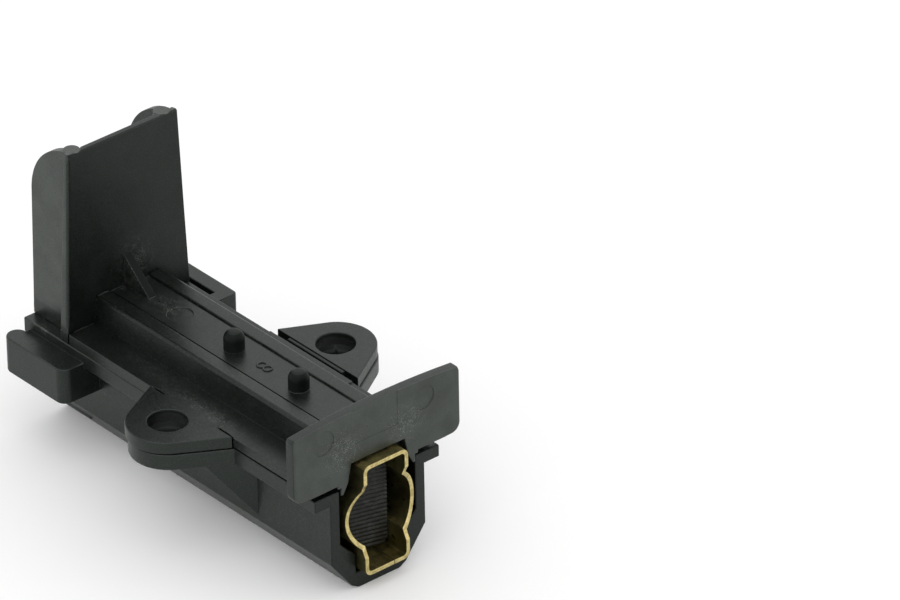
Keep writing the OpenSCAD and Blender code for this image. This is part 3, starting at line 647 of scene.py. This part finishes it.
def stays_sharp(co):
    """True where the layers of an ear meet in its screw hole, and on the shield's top, round already."""
    if co.x > SHIELD_X - 0.35 * MM and co.z > SHIELD_TOP_Z - 0.3 * MM:
        return True
    return abs(co.z - PARTING_Z) < TOUCHING and in_screw_hole(co)


def brass_of(face):
    """The finish that a face of the guide tube gets. Its floor inside is as clean as the outside."""
    if abs(face.normal.x) > 0.7:
        return CUT_EDGE
    radial = Vector((0, face.center.y, face.center.z - TUBE_Z))
    if face.normal.dot(radial) < 0:
        return INSIDE if face.normal.z < 0.7 else OUTSIDE
    return FLANK if abs(radial.y) > TUBE_FLANK_Y else OUTSIDE


# Sizes and colours that a user may change


def colour_property(name, description, default):
    """A colour that a user may change."""
    return bpy.props.FloatVectorProperty(
        name=name, description=description, subtype="COLOR", size=3, min=0.0, max=1.0, default=default)


def length_property(name, description, default):
    """A length that a user may change, in metres."""
    return bpy.props.FloatProperty(name=name, description=description, default=default, unit="LENGTH")


def share_property(name, description, default):
    """A value from 0 to 1 that a user may change."""
    return bpy.props.FloatProperty(name=name, description=description, default=default, min=0.0, max=1.0)


class MouldingSettings(bpy.types.PropertyGroup):
    """Rounding and finish of the black mouldings"""

    edge_round: length_property("Edge rounding", "Rounding of the moulded edges", 0.16 * MM)
    flange_round: length_property("Flange edge rounding", "Rounding of the outline of the flange", 0.34 * MM)
    shield_round: length_property("Shield edge rounding", "Rounding of the shield's upright edges", 0.5 * MM)
    colour: colour_property("Plastic colour", "Colour of the black plastic", (0.0034, 0.0048, 0.0039))
    # The dull colour goes into the less shiny copies of the plastic in holes and slots and on the pegs and
    # the gusset: painted shade
    dull_shade_colour: colour_property(
        "Dull colour", "Colour of the plastic in holes and slots", (0.0042, 0.0058, 0.0047))
    column_colour: colour_property(
        "Column colour", "Colour of the rough ends of the ejector columns", (0.07, 0.075, 0.07))
    haze_colour: colour_property("Haze colour", "Colour of the pale fibre haze", (0.11, 0.12, 0.11))
    fibre_colour: colour_property("Fibre colour", "Colour of single glass fibres", (0.28, 0.29, 0.27))
    haze: share_property("Haze", "Strength of the pale haze", 0.42)
    # The veil lightens the flange and the fin evenly: partly haze, partly a painted reflection of the floor
    reflection_veil: share_property("Veil", "Strength of the even haze on the flange and the fin", 0.3)
    roughness: share_property("Roughness", "Roughness of the plastic", 0.3)


class MarkSettings(bpy.types.PropertyGroup):
    """The numeral and the flash"""

    numeral: bpy.props.StringProperty(
        name="Numeral", description="Plain cavity numeral on the roof", default="8")
    numeral_size: length_property("Numeral size", "Size of the numeral", 3.1 * MM)
    numeral_rise: length_property("Numeral rise", "Height of the numeral above the roof", 0.12 * MM)
    numeral_x: length_property("Numeral place", "Place of the numeral along the roof", 2.1 * MM)
    flash_colour: colour_property("Flash colour", "Colour of the torn flash", (0.035, 0.038, 0.035))


class TubeSettings(bpy.types.PropertyGroup):
    """Rounding and brass tones of the guide tube"""

    edge_round: length_property("Edge rounding", "Rounding of the cut edges", 0.07 * MM)
    outside: colour_property("Outside", "Brass of the tube's outside", (0.58, 0.48, 0.19))
    outside_tarnish: colour_property("Outside tarnish", "Tarnish of the tube's outside", (0.17, 0.15, 0.065))
    inside: colour_property("Inside", "Brass of the tube's inside", (0.34, 0.3, 0.125))
    inside_tarnish: colour_property("Inside tarnish", "Tarnish of the tube's inside", (0.14, 0.125, 0.05))
    cut: colour_property("Cut edge", "Brass of the cut edge at the mouth", (0.86, 0.71, 0.33))
    cut_tarnish: colour_property("Cut edge tarnish", "Tarnish of the cut edge", (0.42, 0.34, 0.13))
    flank: colour_property("Flank", "Brass of the tube's outer flanks", (0.2, 0.18, 0.08))
    flank_tarnish: colour_property("Flank tarnish", "Tarnish of the outer flanks", (0.07, 0.065, 0.03))


class BrushSettings(bpy.types.PropertyGroup):
    """Rounding and tone of the carbon brush"""

    edge_round: length_property("Edge rounding", "Rounding of the brush's edges", 0.08 * MM)
    colour: colour_property("Carbon colour", "Colour of the graphite", (0.011, 0.012, 0.0105))


class ContactSettings(bpy.types.PropertyGroup):
    """Rounding and metals of the terminal, the spring and the lead"""

    edge_round: length_property("Edge rounding", "Rounding of the terminal's cut edges", 0.08 * MM)
    brass: colour_property("Terminal colour", "Brass of the terminal", (0.58, 0.48, 0.19))
    tarnish: colour_property("Terminal tarnish", "Tarnish of the terminal", (0.45, 0.36, 0.15))
    steel: colour_property("Spring colour", "Colour of the spring wire", (0.45, 0.45, 0.46))
    copper: colour_property("Lead colour", "Colour of the copper braid", (0.72, 0.36, 0.2))


class StageSettings(bpy.types.PropertyGroup):
    """Floor and lamp"""

    floor_size: length_property("Floor size", "Side of the pale floor", 4.0)
    floor_colour: colour_property("Floor colour", "Colour of the floor", (0.92, 0.92, 0.92))
    floor_bounce: colour_property("Floor bounce", "Colour of the floor in reflections", (0.66, 0.67, 0.66))
    floor_glow: share_property("Floor glow", "Light that the floor gives of itself", 0.1)
    lamp_size: length_property("Lamp size", "Side of the square lamp", 0.7)
    lamp_power: bpy.props.FloatProperty(
        name="Lamp power", description="Power of the lamp in watts", default=1.0, min=0.0, unit="POWER")


# One operator for each group of pieces


class BRUSHHOLDER_OT_mouldings(bpy.types.Operator):
    """Make the two black mouldings with their rounded edges"""

    bl_idname = "brushholder.mouldings"
    bl_label = "Mouldings"

    def execute(self, context):
        settings = context.scene.brushholder_moulding
        materials = {
            POLISHED: moulding_finish("black_plastic", settings),
            # The dull copy shines less: a painted shade in the holes, the slots, the far groove and on the
            # tips of the pegs
            DULL_SHADE: dull_finish("dull_shade_plastic", settings.dull_shade_colour, roughness=0.5, gloss=0.33),
            ROUGH: dull_finish("rough_plastic", settings.column_colour, roughness=0.5, gloss=0.5),
            # The soft copy shines least: a painted shade on the sides of the pegs and on the gusset's slope
            SOFT_SHADE: dull_finish("soft_shade_plastic", settings.dull_shade_colour, roughness=0.45, gloss=0.14),
            # The shaded copy shines less: a painted shade on the shield front, the trough front and the roof
            # sides
            SHADED: moulding_finish("painted_shade_plastic", settings, gloss=0.34),
        }
        wider = ((on_flange_outline, settings.flange_round), (inside_shield_edge, settings.shield_round))
        for node, name in (("base_moulding", "lower_moulding"), ("cover_moulding", "upper_moulding")):
            piece = merged_copy(node, name)
            ease_steps(piece)
            split_ends(piece, on_shield_edge, distance=0.9 * MM)
            for face in piece.data.polygons:
                corners = [piece.data.vertices[i].co for i in face.vertices]
                face.material_index = plastic_of(face, corners)
            round_edges(piece, settings.edge_round, stays_sharp, wider)
            dress(piece, "holder", node, "moulding", *materials.values())
        return {"FINISHED"}


class BRUSHHOLDER_OT_marks(bpy.types.Operator):
    """Make the plain numeral on the roof and the thin flash at the front peg, the shield and the gusset"""

    bl_idname = "brushholder.marks"
    bl_label = "Marks"

    def execute(self, context):
        settings = context.scene.brushholder_marks
        polished = bpy.data.materials.get("black_plastic")
        if polished is None:
            raise RuntimeError("The mouldings have to be made before their marks")
        torn = dull_finish("flash_plastic", settings.flash_colour, roughness=0.4, gloss=0.4)
        self.add_mark("cavity_numeral", self.numeral_mesh(context, settings), polished)
        skin = self.skin_mesh("peg_flash", self.peg_path(), widest=0.16, highest=0.13)
        self.add_mark("peg_flash", skin, polished)
        for name, across, z, x, way, width, height in FLASH_LINES:
            skin = self.skin_mesh(name, self.straight_path(across, z, x, way), width, height)
            self.add_mark(name, skin, torn)
        return {"FINISHED"}

    def add_mark(self, name, mesh, material):
        """Puts a small mark on the holder."""
        mesh.materials.clear()
        mesh.materials.append(material)
        mark = add_object(name, mesh)
        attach(mark, "holder")

    def numeral_mesh(self, context, settings):
        """The raised numeral, read from the mouth."""
        outline = bpy.data.curves.new("numeral_outline", "FONT")
        outline.body = settings.numeral
        outline.size = settings.numeral_size
        outline.align_x = "CENTER"
        outline.align_y = "CENTER"
        outline.extrude = settings.numeral_rise / 2
        outline.bevel_depth = settings.numeral_rise / 2
        outline.bevel_resolution = 2
        outline.offset = -settings.numeral_size * 0.03
        source = add_object("numeral_outline", outline)
        mesh = bpy.data.meshes.new_from_object(source.evaluated_get(context.evaluated_depsgraph_get()))
        bpy.data.objects.remove(source)
        turn = Matrix.Rotation(math.radians(-90), 4, "Z")
        mesh.transform(Matrix.Translation((settings.numeral_x, 0, ROOF_Z)) @ turn)
        return mesh

    def peg_path(self):
        """Points round the near side of the front peg's foot, each with the way that the flash spreads."""
        start, turn, steps = math.radians(-118), math.radians(170), 36
        centre = Vector((PEGS_X[1], 0, ROOF_Z))
        path = []
        for i in range(steps + 1):
            angle = start + turn * i / steps
            out = Vector((math.cos(angle), math.sin(angle), 0))
            path.append((centre + out * PEG_R, out))
        return path

    def straight_path(self, across, z, x, way):
        """Points along a straight line of flash, each with the way that it spreads."""
        start, end = across
        step = 0.12
        steps = max(8, round((end - start) / step))
        out = Vector((way, 0, 0))
        return [(Vector((x, (start + (end - start) * i / steps) * MM, z)), out) for i in range(steps + 1)]

    def skin_mesh(self, name, path, widest, highest):
        """A thin torn skin, its section extruded along a path, up to widest and highest in millimetres."""
        root, sunk = -0.03 * MM, -0.01 * MM
        bm = bmesh.new()
        end = None
        for i, (point, out) in enumerate(path):
            swell = abs(math.sin(math.pi * i / (len(path) - 1))) ** 0.5
            wave = 0.5 + 0.3 * math.sin(i * 1.7) + 0.2 * math.sin(i * 0.6 + 1)
            width = (0.04 + widest * swell * wave) * MM
            height = (0.02 + highest * swell * (1 - 0.5 * wave)) * MM
            section = ((root, 0), (root, height), (width * 0.6, height * 0.8), (width, sunk))
            corners = [point + out * reach + Vector((0, 0, rise)) for reach, rise in section]
            if end is None:
                end = bm.faces.new([bm.verts.new(corner) for corner in corners])
                continue
            made = bmesh.ops.extrude_face_region(bm, geom=[end, *end.edges, *end.verts])["geom"]
            end = next(part for part in made if isinstance(part, bmesh.types.BMFace))
            for vert, corner in zip(end.verts, corners):
                vert.co = corner
        bmesh.ops.recalc_face_normals(bm, faces=bm.faces)
        for face in bm.faces:
            face.smooth = True
        mesh = bpy.data.meshes.new(name)
        bm.to_mesh(mesh)
        bm.free()
        return mesh


class BRUSHHOLDER_OT_guide_tube(bpy.types.Operator):
    """Make the folded brass guide tube, bright at its cut edge and tarnished inside"""

    bl_idname = "brushholder.guide_tube"
    bl_label = "Guide tube"

    def execute(self, context):
        settings = context.scene.brushholder_tube
        materials = {
            OUTSIDE: brass_finish("brass_outside", settings.outside, 0.38, settings.outside_tarnish, 0.9,
                                  spots=0.25, cloud_size=1.2),
            INSIDE: brass_finish("brass_inside", settings.inside, 0.36, settings.inside_tarnish, 0.9,
                                 spots=0.9),
            CUT_EDGE: brass_finish("brass_cut_edge", settings.cut, 0.3, settings.cut_tarnish, 0.8,
                                   cloud_size=0.5),
            FLANK: brass_finish("brass_flank", settings.flank, 0.45, settings.flank_tarnish, 0.8),
        }
        piece = merged_copy("guide_tube", "folded_tube")
        for face in piece.data.polygons:
            face.material_index = brass_of(face)
        round_edges(piece, settings.edge_round)
        dress(piece, "holder", "guide_tube", "brass", *materials.values())
        return {"FINISHED"}


class BRUSHHOLDER_OT_carbon_brush(bpy.types.Operator):
    """Make the carbon brush"""

    bl_idname = "brushholder.carbon_brush"
    bl_label = "Carbon brush"

    def execute(self, context):
        settings = context.scene.brushholder_brush
        piece = merged_copy("carbon_brush", "graphite_brush")
        round_edges(piece, settings.edge_round)
        dress(piece, "brush", "carbon_brush", "carbon", carbon_finish("graphite", settings.colour))
        return {"FINISHED"}


class BRUSHHOLDER_OT_contacts(bpy.types.Operator):
    """Finish the spring, the lead and the terminal"""

    bl_idname = "brushholder.contacts"
    bl_label = "Spring, lead and terminal"

    def execute(self, context):
        settings = context.scene.brushholder_contacts
        terminal = merged_copy("tab_terminal", "blade_terminal")
        round_edges(terminal, settings.edge_round)
        brass = brass_finish("brass_terminal", settings.brass, 0.3, settings.tarnish, 0.6)
        dress(terminal, "holder", "tab_terminal", "terminal_brass", brass)
        self.finish_solid("pressure_spring", "spring_steel", wire_finish("spring_wire", settings.steel, 0.32))
        self.finish_solid("shunt_lead", "copper_braid", wire_finish("copper_braid", settings.copper, 0.4))
        return {"FINISHED"}

    def finish_solid(self, node, slot, material):
        """Gives a solid that stays as it is its finish."""
        solid = frame["nodes"][node]
        solid.data.materials.clear()
        solid.data.materials.append(material)


class BRUSHHOLDER_OT_stage(bpy.types.Operator):
    """Make the floor, the lamp, the world and the camera"""

    bl_idname = "brushholder.stage"
    bl_label = "Stage"

    def execute(self, context):
        settings = context.scene.brushholder_stage
        self.floor(settings)
        self.world(context.scene)
        self.lamp(settings)
        self.camera(context.scene)
        context.scene.view_settings.view_transform = "Standard"
        return {"FINISHED"}

    def seen_or_lit(self, tree, lit, seen):
        """One colour for the light and reflections, and another for what the camera sees."""
        path = tree.nodes.new("ShaderNodeLightPath")
        mix = tree.nodes.new("ShaderNodeMix")
        mix.data_type = "RGBA"
        mix.inputs["A"].default_value = tone(lit)
        mix.inputs["B"].default_value = tone(seen)
        tree.links.new(path.outputs["Is Camera Ray"], mix.inputs["Factor"])
        return mix.outputs["Result"]

    def floor(self, settings):
        """A pale floor just under the holder."""
        bm = bmesh.new()
        bmesh.ops.create_grid(bm, x_segments=1, y_segments=1, size=settings.floor_size / 2)
        bmesh.ops.translate(bm, verts=bm.verts, vec=(0, 0, FOOT_Z - 0.02 * MM))
        mesh = bpy.data.meshes.new("floor")
        bm.to_mesh(mesh)
        bm.free()
        material = bpy.data.materials.new("floor_paper")
        material.use_nodes = True
        tree = material.node_tree
        shader = tree.nodes["Principled BSDF"]
        colour = self.seen_or_lit(tree, settings.floor_bounce, settings.floor_colour)
        tree.links.new(colour, shader.inputs["Base Color"])
        shader.inputs["Roughness"].default_value = 0.9
        shader.inputs["Specular IOR Level"].default_value = 0.0
        shader.inputs["Emission Color"].default_value = (1, 1, 1, 1)
        shader.inputs["Emission Strength"].default_value = settings.floor_glow
        mesh.materials.append(material)
        add_object("floor", mesh)

    def world(self, scene):
        """An even pale room, white behind the floor."""
        scene.world = bpy.data.worlds.new("studio")
        scene.world.use_nodes = True
        tree = scene.world.node_tree
        background = tree.nodes["Background"]
        colour = self.seen_or_lit(tree, (0.95, 0.95, 0.95), (1, 1, 1))
        tree.links.new(colour, background.inputs["Color"])
        background.inputs["Strength"].default_value = 1.0

    def lamp(self, settings):
        """One soft lamp above the near side."""
        light = bpy.data.lights.new("key_lamp", "AREA")
        light.shape = "SQUARE"
        light.size = settings.lamp_size
        light.energy = settings.lamp_power
        lamp = add_object("key_lamp", light)
        lamp.location = (0.15, -0.35, 0.75)
        lamp.rotation_euler = lamp.location.to_track_quat("Z", "Y").to_euler()

    def camera(self, scene):
        """The photograph's camera, solved from the holder's edges and screw holes."""
        focal_px, image_px, sensor = 9639.4, 900, 36.0
        pitch, roll, turn = math.radians(31.553), math.radians(1.056), math.radians(50.098)
        distance, aside, up = 1019.33 * MM, -20.883 * MM, -9.842 * MM
        sine, cosine = math.sin(turn), math.cos(turn)
        level_right = Vector((cosine, sine, 0))
        level_up = Vector((-sine * math.sin(pitch), cosine * math.sin(pitch), math.cos(pitch)))
        back = Vector((sine * math.cos(pitch), -cosine * math.cos(pitch), math.sin(pitch)))
        right = math.cos(roll) * level_right - math.sin(roll) * level_up
        upward = math.sin(roll) * level_right + math.cos(roll) * level_up
        lens = bpy.data.cameras.new("photo_camera")
        lens.sensor_width = sensor
        lens.lens = focal_px * sensor / image_px
        lens.clip_start, lens.clip_end = 0.01, 20
        scene.camera = add_object("photo_camera", lens)
        place = Matrix((right, upward, back)).transposed().to_4x4()
        place.translation = distance * back - aside * right - up * upward + Vector((0, 0, PARTING_Z))
        scene.camera.matrix_world = place


class BRUSHHOLDER_PT_panel(bpy.types.Panel):
    """Lists the pieces of the brush holder and their settings"""

    bl_label = "Brush Holder"
    bl_idname = "BRUSHHOLDER_PT_panel"
    bl_space_type = "VIEW_3D"
    bl_region_type = "UI"
    bl_category = "Brush Holder"

    def draw(self, context):
        """Puts the operators first, and then each group of settings in a box."""
        for operator in OPERATORS:
            self.layout.operator(operator.bl_idname)
        for name, group in SETTINGS.items():
            box = self.layout.box()
            for key in group.__annotations__:
                box.prop(getattr(context.scene, name), key)


OPERATORS = [
    BRUSHHOLDER_OT_mouldings,
    BRUSHHOLDER_OT_marks,
    BRUSHHOLDER_OT_guide_tube,
    BRUSHHOLDER_OT_carbon_brush,
    BRUSHHOLDER_OT_contacts,
    BRUSHHOLDER_OT_stage,
]
SETTINGS = {
    "brushholder_moulding": MouldingSettings,
    "brushholder_marks": MarkSettings,
    "brushholder_tube": TubeSettings,
    "brushholder_brush": BrushSettings,
    "brushholder_contacts": ContactSettings,
    "brushholder_stage": StageSettings,
}


def register():
    """Registers the settings, the operators and the panel."""
    for cls in [*SETTINGS.values(), *OPERATORS, BRUSHHOLDER_PT_panel]:
        bpy.utils.register_class(cls)
    for name, group in SETTINGS.items():
        setattr(bpy.types.Scene, name, bpy.props.PointerProperty(type=group))


def unregister():
    """Takes the settings, the operators and the panel away again."""
    for name in SETTINGS:
        delattr(bpy.types.Scene, name)
    for cls in reversed([*SETTINGS.values(), *OPERATORS, BRUSHHOLDER_PT_panel]):
        bpy.utils.unregister_class(cls)


def main():
    """Makes the whole scene."""
    register()
    bpy.ops.brushholder.mouldings()
    bpy.ops.brushholder.marks()
    bpy.ops.brushholder.guide_tube()
    bpy.ops.brushholder.carbon_brush()
    bpy.ops.brushholder.contacts()
    bpy.ops.brushholder.stage()


if __name__ == "__main__":
    main()
